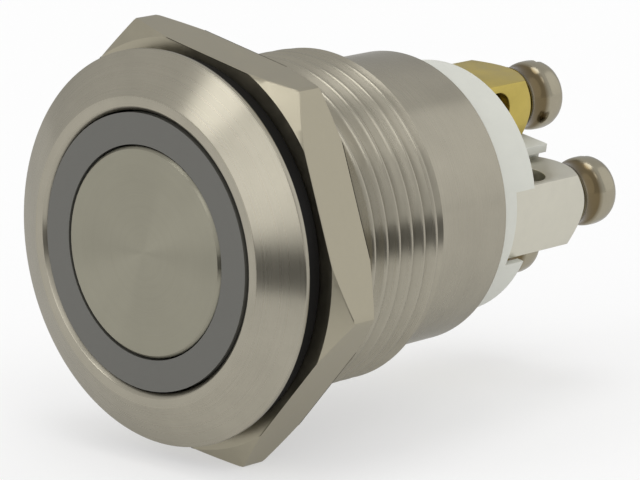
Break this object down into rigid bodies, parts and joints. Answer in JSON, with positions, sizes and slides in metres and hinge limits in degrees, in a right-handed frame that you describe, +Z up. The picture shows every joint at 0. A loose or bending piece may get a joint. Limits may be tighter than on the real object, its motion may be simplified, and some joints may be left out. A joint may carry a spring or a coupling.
{
  "type": "anti vandal push button",
  "caption": "Illuminated metal push button for a panel hole: conical flange with a lit ring, threaded barrel with hexagon nut, and a white base with screw terminals.",
  "frame": {"origin": "centre of the barrel in the plane where the flange meets its seal", "axes": "+Y along the barrel towards the terminals, so the face of the button looks along -Y; +Z is up"},
  "size_m": [0.025, 0.0328, 0.024],
  "materials": {
    "stainless": "turned, satin",
    "pusher_steel": "spun, satin",
    "nut_nickel": "nickel plated, satin",
    "screw_nickel": "nickel plated",
    "terminal_silver": "silver plated, satin",
    "terminal_brass": "milled",
    "contact_silver": "silver",
    "spring_steel": "drawn wire",
    "seal_rubber": "matt",
    "ring_plastic": "smooth, translucent",
    "base_plastic": "moulded, fine grain",
    "inner_plastic": "moulded",
    "board_green": "lacquered",
    "lamp_white": "clear",
    "resistor_black": "smooth"
  },
  "bodies": {
    "housing": {"housing": "stainless", "panel_seal": "seal_rubber", "led_ring": "ring_plastic", "return_spring": "spring_steel", "led_board": "board_green", "led_1": "lamp_white", "led_2": "lamp_white", "led_3": "lamp_white", "led_4": "lamp_white", "led_resistor": "resistor_black", "contact_frame": "inner_plastic", "base": "base_plastic", "contact_terminal_1": "terminal_silver", "contact_terminal_2": "terminal_silver", "lamp_terminal_1": "terminal_brass", "lamp_terminal_2": "terminal_brass", "fixed_contact_1": "contact_silver", "fixed_contact_2": "contact_silver"},
    "pusher": {"pusher": "pusher_steel", "plunger": "inner_plastic", "pusher_oring": "seal_rubber", "contact_spring": "spring_steel"},
    "contact_bridge": {"contact_bridge": "contact_silver"},
    "nut": {"hex_nut": "nut_nickel"},
    "clamp_screw_1": {"clamp_screw_1": "screw_nickel"},
    "clamp_screw_2": {"clamp_screw_2": "screw_nickel"},
    "clamp_screw_3": {"clamp_screw_3": "screw_nickel"},
    "clamp_screw_4": {"clamp_screw_4": "screw_nickel"}
  },
  "joints": [
    {"name": "pusher_press", "type": "slide", "parent": "housing", "child": "pusher", "axis": [0, 1, 0], "range_m": [0, 0.002], "stiffness_N_per_m": 800, "springref_m": -0.002, "deforming": ["return_spring"]},
    {"name": "bridge_wipe", "type": "slide", "parent": "pusher", "child": "contact_bridge", "axis": [0, 1, 0], "range_m": [-0.0004, 0], "deforming": ["contact_spring"]},
    {"name": "nut_turn", "type": "hinge", "parent": "housing", "child": "nut", "pos_m": [0, 0.00295, 0], "axis": [0, 1, 0], "continuous": true},
    {"name": "clamp_screw_1_turn", "type": "hinge", "parent": "housing", "child": "clamp_screw_1", "pos_m": [0.00081, 0.02755, 0.00453], "axis": [0, 1, 0], "continuous": true},
    {"name": "clamp_screw_2_turn", "type": "hinge", "parent": "housing", "child": "clamp_screw_2", "pos_m": [0.00453, 0.0281, -0.00081], "axis": [0, 1, 0], "continuous": true},
    {"name": "clamp_screw_3_turn", "type": "hinge", "parent": "housing", "child": "clamp_screw_3", "pos_m": [-0.00081, 0.02755, -0.00453], "axis": [0, 1, 0], "continuous": true},
    {"name": "clamp_screw_4_turn", "type": "hinge", "parent": "housing", "child": "clamp_screw_4", "pos_m": [-0.00453, 0.0281, 0.00081], "axis": [0, 1, 0], "continuous": true}
  ],
  "couplings": [
    {"joint": "bridge_wipe", "follows": "pusher_press", "ratio": -0.2}
  ]
}
